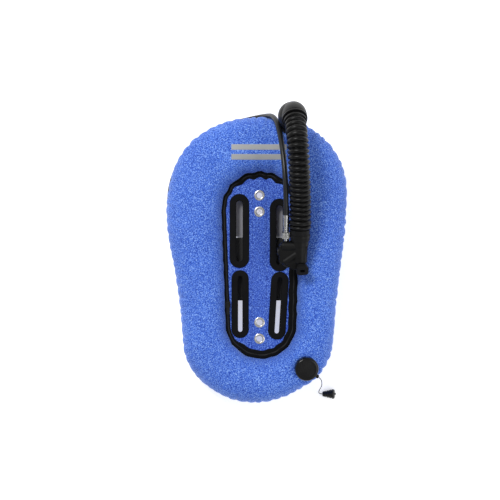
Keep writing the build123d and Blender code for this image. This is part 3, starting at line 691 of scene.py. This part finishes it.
def stadium(width, length, count):
    """Points round an upright slot with round ends, counter-clockwise from the right."""
    straight = (length - width) / 2
    angles = np.linspace(0, TAU, count, endpoint=False)
    share = straight / (straight + width * math.pi / 4)
    t = angles / TAU * 4
    quarter = np.mod(t, 1)
    points = []
    for q, k in zip(quarter, np.floor(t).astype(int)):
        q = q if k % 2 == 0 else 1 - q
        if q < share:
            x, y = width / 2, straight * q / share
        else:
            a = (q - share) / (1 - share) * math.pi / 2
            x, y = width / 2 * math.cos(a), straight + width / 2 * math.sin(a)
        points.append((x if k in (0, 3) else -x, y if k in (0, 1) else -y))
    return np.array(points)


def inside_slot(x, y, slot, grow):
    _, cx, cy, _, _, width, length, tilt = slot
    a = math.radians(tilt)
    dx, dy = x - cx, y - cy
    u, v = dx * math.cos(a) + dy * math.sin(a), -dx * math.sin(a) + dy * math.cos(a)
    straight = (length - width) / 2
    return np.hypot(u, np.maximum(np.abs(v) - straight, 0)) < width / 2 + grow


def panel_depth(x, y):
    """Distance inside the panel's outline, which tapers between its two round ends."""
    best = np.full(np.shape(x), -1e9)
    for t in np.linspace(0, 1, 61):
        cx = PANEL_TOP[0] * (1 - t) + PANEL_BOTTOM[0] * t
        cy = PANEL_TOP[1] * (1 - t) + PANEL_BOTTOM[1] * t
        r = PANEL_TOP_RADIUS * (1 - t) + PANEL_BOTTOM_RADIUS * t
        best = np.maximum(best, r - np.hypot(x - cx, y - cy))
    return best


def panel_height(x, y):
    """Low padding between the stitch lines of the front cloth."""
    depth = panel_depth(x, y)
    puff = 1.5 * (1 - np.exp(-np.maximum(depth - 7, 0) / 9))
    for line in (LEFT_SEAM, RIGHT_SEAM):
        puff = puff * (1 - 0.65 * np.exp(-(((x - line) / 2.4) ** 2)) * (np.abs(y) < 190))
    for slot in SLOTS:
        near = inside_slot(x, y, slot, 17)
        puff = np.where(near, puff * 0.8, puff)
    return PANEL_FRONT + puff


def centre_panel(name, node, top, height):
    """A cloth of the panel as a grid with its slots and holes left out."""
    xs, ys = np.arange(-80, 96, 2.0), np.arange(-222, 196, 2.0)
    gx, gy = np.meshgrid(xs, ys)
    keep = panel_depth(gx, gy) > -2
    for s in SLOTS:
        keep &= ~inside_slot(gx, gy, s, 2.5)
    for cx, cy in GROMMETS:
        keep &= np.hypot(gx - cx, gy - cy) > 8
    z = height(gx, gy)
    ripple = np.array([[noise.noise(Vector((x, y, 5)) / 21) + 0.5 * noise.noise(Vector((x, y, 9)) / 8)
                        for x in xs] for y in ys])
    z = z + (0.5 if top else -0.5) * ripple * smooth(0, 12, panel_depth(gx, gy))
    points = np.dstack([gx, gy, z]).reshape(-1, 3)
    good = keep.reshape(-1)
    faces = [f if top else f[::-1] for f in grid_faces(len(ys), len(xs)) if all(good[i] for i in f)]
    used = sorted(set(i for f in faces for i in f))
    index = {old: new for new, old in enumerate(used)}
    faces = [tuple(index[i] for i in f)[::-1] for f in faces]
    made = mesh_object(name, points[used], faces, PANEL, "wing", "panel_fabric")
    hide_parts(node)


centre_panel("panel_front_cloth", "center_panel_front", True, panel_height)
centre_panel("panel_back_cloth", "center_panel_back", False, lambda x, y: PANEL_BACK + 0 * x)


# ---------------------------------------------------------------- slot trims
def trim_part(slot, base, top, flip=False):
    _, cx, cy, width, length, slit_width, slit_length, tilt = slot
    count, rows = 160, 13
    outer_edge, inner_edge = stadium(width, length, count), stadium(slit_width, slit_length, count)
    v = np.linspace(0, 1, rows)
    rise = np.minimum(1, np.minimum(v, 1 - v) / 0.12)
    rise = np.sqrt(1 - (1 - rise) ** 2)
    groove = 0.55 * (np.exp(-(((v - 0.22) / 0.05) ** 2)) + np.exp(-(((v - 0.8) / 0.05) ** 2)))
    heights = base + (top - base) * (0.35 + 0.65 * rise) - np.sign(top - base) * groove
    flat = outer_edge[:, None] * (1 - v)[None, :, None] + inner_edge[:, None] * v[None, :, None]
    a = math.radians(tilt)
    x = cx + flat[:, :, 0] * math.cos(a) - flat[:, :, 1] * math.sin(a)
    y = cy + flat[:, :, 0] * math.sin(a) + flat[:, :, 1] * math.cos(a)
    z = np.broadcast_to(heights, x.shape)
    upper = np.dstack([x, y, z])
    under = np.dstack([x[:, [-1, 0]], y[:, [-1, 0]], np.full((count, 2), base)])
    points = np.concatenate([upper, under], axis=1)
    faces = grid_faces(count, rows + 2, True, True)
    return points.reshape(-1, 3), [f[::-1] for f in faces] if flip else faces


for slot in SLOTS:
    trim = mesh_object("trim_" + slot[0], *trim_part(slot, 52.2, 56.6), NEOPRENE, "wing", "neoprene")
    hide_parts("slot_trim_" + slot[0])
back_trims = mesh_object("trims_behind", *join_parts([trim_part(s, 47.6, 43.9, True) for s in SLOTS]),
                         NEOPRENE, "wing", "neoprene")
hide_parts("slot_trims_back")


# ---------------------------------------------------------------- stitching
def stitch_parts(path, z_of, pitch=3.4, length=2.3, radius=0.42):
    """Short raised stitches along a flat line."""
    path = np.asarray(path, float)
    along = np.r_[0, np.cumsum(np.linalg.norm(np.diff(path, axis=0), axis=1))]
    parts = []
    for s in np.arange(pitch / 2, along[-1] - length, pitch):
        t = np.linspace(s, s + length, 5)
        x, y = np.interp(t, along, path[:, 0]), np.interp(t, along, path[:, 1])
        z = z_of(x, y) + radius * (0.2 + 0.9 * np.sin(np.linspace(0, math.pi, 5)))
        line = np.stack([x, y, z], axis=1)
        parts.append(tube_part(line, radius * np.array([0.5, 0.9, 1, 0.9, 0.5]), 6))
    return parts


def ring_path(slot, grow):
    """A line round a slot's trim, out from its edge."""
    _, cx, cy, width, length, _, _, tilt = slot
    flat = stadium(width + 2 * grow, length + 2 * grow, 160)
    flat = np.vstack([flat, flat[:1]])
    a = math.radians(tilt)
    return np.stack([cx + flat[:, 0] * math.cos(a) - flat[:, 1] * math.sin(a),
                     cy + flat[:, 0] * math.sin(a) + flat[:, 1] * math.cos(a)], axis=1)


panel_seams = [[(x, 150), (x, -196)] for x in (LEFT_SEAM, RIGHT_SEAM)]
for left_y, right_y in ((124, 88), (88, 124), (158, 158), (-104, -104)):
    panel_seams.append([(LEFT_SEAM, left_y), (RIGHT_SEAM, right_y)])
arch = np.degrees(np.linspace(0.35, math.pi - 0.35, 40))
panel_seams.append([polar(PANEL_TOP, PANEL_TOP_RADIUS - 16, a) for a in arch])
parts = [p for seam in panel_seams for p in stitch_parts(seam, panel_height)]
mesh_object("panel_stitching", *join_parts(parts), THREAD, "wing", "panel_fabric")

TRIM_SEAM = 56.05      # height of the trims' stitch line


def trim_seam_height(x, _):
    return np.full(np.shape(x), TRIM_SEAM)


parts = []
for slot in SLOTS:
    parts += stitch_parts(ring_path(slot, -3.0), trim_seam_height, 3.2, 2.2, 0.32)
mesh_object("trim_stitching", *join_parts(parts), ZIP_TAPE, "wing", "neoprene")


# ---------------------------------------------------------------- zipper
TAPE = 9.5              # width of the zipper's tape at its narrowest


def zipper_band():
    xy, out, s, _ = closed_curve(panel_arcs(), COLUMNS)
    wave = inner_wave(s, xy)
    seam = xy - out * (wave * 0.6)[:, None]
    width = TAPE + 9.0 * smooth(40, 78, xy[:, 0]) * smooth(160, 110, xy[:, 1])
    width += 9.0 * smooth(-175, -205, xy[:, 1]) * (1 - smooth(40, 78, xy[:, 0]))
    width += 4.0 * smooth(150, 185, xy[:, 1])
    width = width + wave * 0.7
    rows = 9
    v = np.linspace(0, 1, rows)
    reach = -1.5 + v[None, :] * (width + 1.5)[:, None]
    flat = seam[:, None] - out[:, None] * reach[:, :, None]
    crown = 1.3 * np.sin(math.pi * v) ** 0.5
    rise = 2.4 * (1 - v) ** 2
    z = 54.4 + crown[None, :] + rise[None, :] + 0.25 * wave[:, None]
    z[:, 0] -= 1.5
    z[:, -1] = 53.2
    under = np.dstack([flat[:, [-1, 0]], np.full((COLUMNS, 2), 52.6)])
    points = np.concatenate([np.dstack([flat, z]), under], axis=1)
    band = mesh_object("zipper_band", points.reshape(-1, 3), grid_faces(COLUMNS, rows + 2, True, True),
                       ZIP_TAPE, "wing", "zip_tape")
    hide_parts("zipper_tape")

    middle = seam - out * (4.4 + 0.28 * np.maximum(width - TAPE, 0))[:, None]
    middle = np.vstack([middle, middle[:1]])
    along = np.r_[0, np.cumsum(np.linalg.norm(np.diff(middle, axis=0), axis=1))]
    even = np.linspace(0, along[-1], 1500, endpoint=False)
    line = np.stack([np.interp(even, along, middle[:, 0]), np.interp(even, along, middle[:, 1])], axis=1)
    step = np.roll(line, -1, axis=0) - np.roll(line, 1, axis=0)
    side = np.stack([step[:, 1], -step[:, 0]], axis=1)
    side /= np.linalg.norm(side, axis=1)[:, None]
    beat = 0.5 + 0.5 * np.sin(np.arange(len(line)) * TAU / 3)
    a = np.linspace(0, math.pi, 7)
    half = (2.2 + 0.35 * beat)[:, None] * np.cos(a)[None]
    lift = 54.6 + (1.9 + 0.5 * beat)[:, None] * np.sin(a)[None]
    points = np.dstack([line[:, None] + side[:, None] * half[:, :, None], lift])
    coil = mesh_object("zipper_teeth", points.reshape(-1, 3), grid_faces(len(line), 7, True),
                       ZIP_COIL, "wing", "zip_coil")
    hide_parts("zipper_coil")


zipper_band()


# ---------------------------------------------------------------- grommets
def lathe(profile, x, y, z):
    """An upright turned piece from (radius, height) pairs."""
    angles = np.linspace(0, TAU, 64, endpoint=False)
    points = [(x + r * math.cos(a), y + r * math.sin(a), z + h) for r, h in profile for a in angles]
    return points, grid_faces(len(profile), len(angles), close_columns=True)


rolled = [(11.9, 0.2), (12.0, 0.7), (11.6, 1.25), (10.6, 1.7), (9.3, 1.95), (8.1, 1.85), (7.1, 1.45),
          (6.6, 0.7), (6.4, -0.4), (6.36, -4), (6.36, -8)]
eyelets = mesh_object("eyelets", *join_parts([lathe(rolled, x, y, 53.4) for x, y in GROMMETS]),
                      NICKEL, "wing", "grommet_metal")
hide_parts("grommets")


# ---------------------------------------------------------------- CAD pieces and their finishes
FINISHES = {
    "center_panel_stiffener": STIFFENER,
    "grommet_washers": NICKEL,
    # painted shade: the grey of the shadowed floor behind the upper slots
    "tank_pad_upper": SHADE_GREY_PAD,
    "tank_pad_lower": PAD_BLACK,
    "zipper_slider": ZIP_METAL,
    "zipper_pull": ZIP_METAL,
    "elbow_flange": SOFT_BLACK,
    "bladder_port": MOULDED,
    "port_gasket": SOFT_BLACK,
    "elbow_nut": ELBOW_BLACK,
    "elbow": ELBOW_BLACK,
    "hose_clamp_upper": MOULDED,
    "hose_cuff": SOFT_BLACK,
    "cable_tie": MOULDED,
    "hose_clamp_lower": MOULDED,
    "inflator_body": MOULDED,
    "qd_nipple": CHROME,
    "nipple_oring": SOFT_BLACK,
    "valve_core": STEEL,
    "mouthpiece": SOFT_BLACK,
    "inflate_spring": STEEL,
    "deflate_spring": STEEL,
    "inflate_button": BUTTON,
    "deflate_button": BUTTON,
    "coupler_body": CHROME,
    "coupler_sleeve": CHROME,
    "coupler_spring": STEEL,
    "lp_ferrule": CHROME,
    "first_stage_fitting": CHROME,
    "fitting_oring": SOFT_BLACK,
    "dump_inner_flange": MOULDED,
    "dump_gasket": SOFT_BLACK,
    "dump_housing": GLOSS_BLACK,
    "cord_guide": MOULDED,
    "dump_poppet": MOULDED,
    "dump_seal": SOFT_BLACK,
    "dump_spring": STEEL,
    "pull_knob": BUTTON,
}
for node, finish in FINISHES.items():
    held = nodes[node].data.materials
    held.clear()
    held.append(finish)


# each spring is shown as a copy of its mesh that rides its body
for node, joint, body, axis, travel in (
    ("inflate_spring", "inflate_press", "hose_assembly", (1, 0, 0), 0.003),
    ("deflate_spring", "deflate_press", "hose_assembly", (0.522562, 0.819573, 0.235009), 0.003),
    ("coupler_spring", "coupler_pull_back", "hose_assembly", (0, 0.961262, 0.275637), 0.005),
    ("dump_spring", "dump_open", "wing", (0.104241, -0.092272, 0.990268), 0.004),
):
    coil = bpy.data.objects.new(node + "_coil", nodes[node].data.copy())
    scene.collection.objects.link(coil)
    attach(coil, body)
    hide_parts(node)
    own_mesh(coil)


# ---------------------------------------------------------------- floor
floor_mesh = bpy.data.meshes.new("floor")
floor_mesh.from_pydata([(-40, -40, 0), (40, -40, 0), (40, 40, 0), (-40, 40, 0)], [], [(0, 1, 2, 3)])
floor = bpy.data.objects.new("floor", floor_mesh)
scene.collection.objects.link(floor)
floor_material, _, floor_shader = new_material("floor")
floor_shader.inputs["Base Color"].default_value = (0.9, 0.9, 0.9, 1)
floor_shader.inputs["Emission Color"].default_value = (1, 1, 1, 1)
floor_shader.inputs["Emission Strength"].default_value = 0.52
floor_shader.inputs["Roughness"].default_value = 0.9
floor_mesh.materials.append(floor_material)
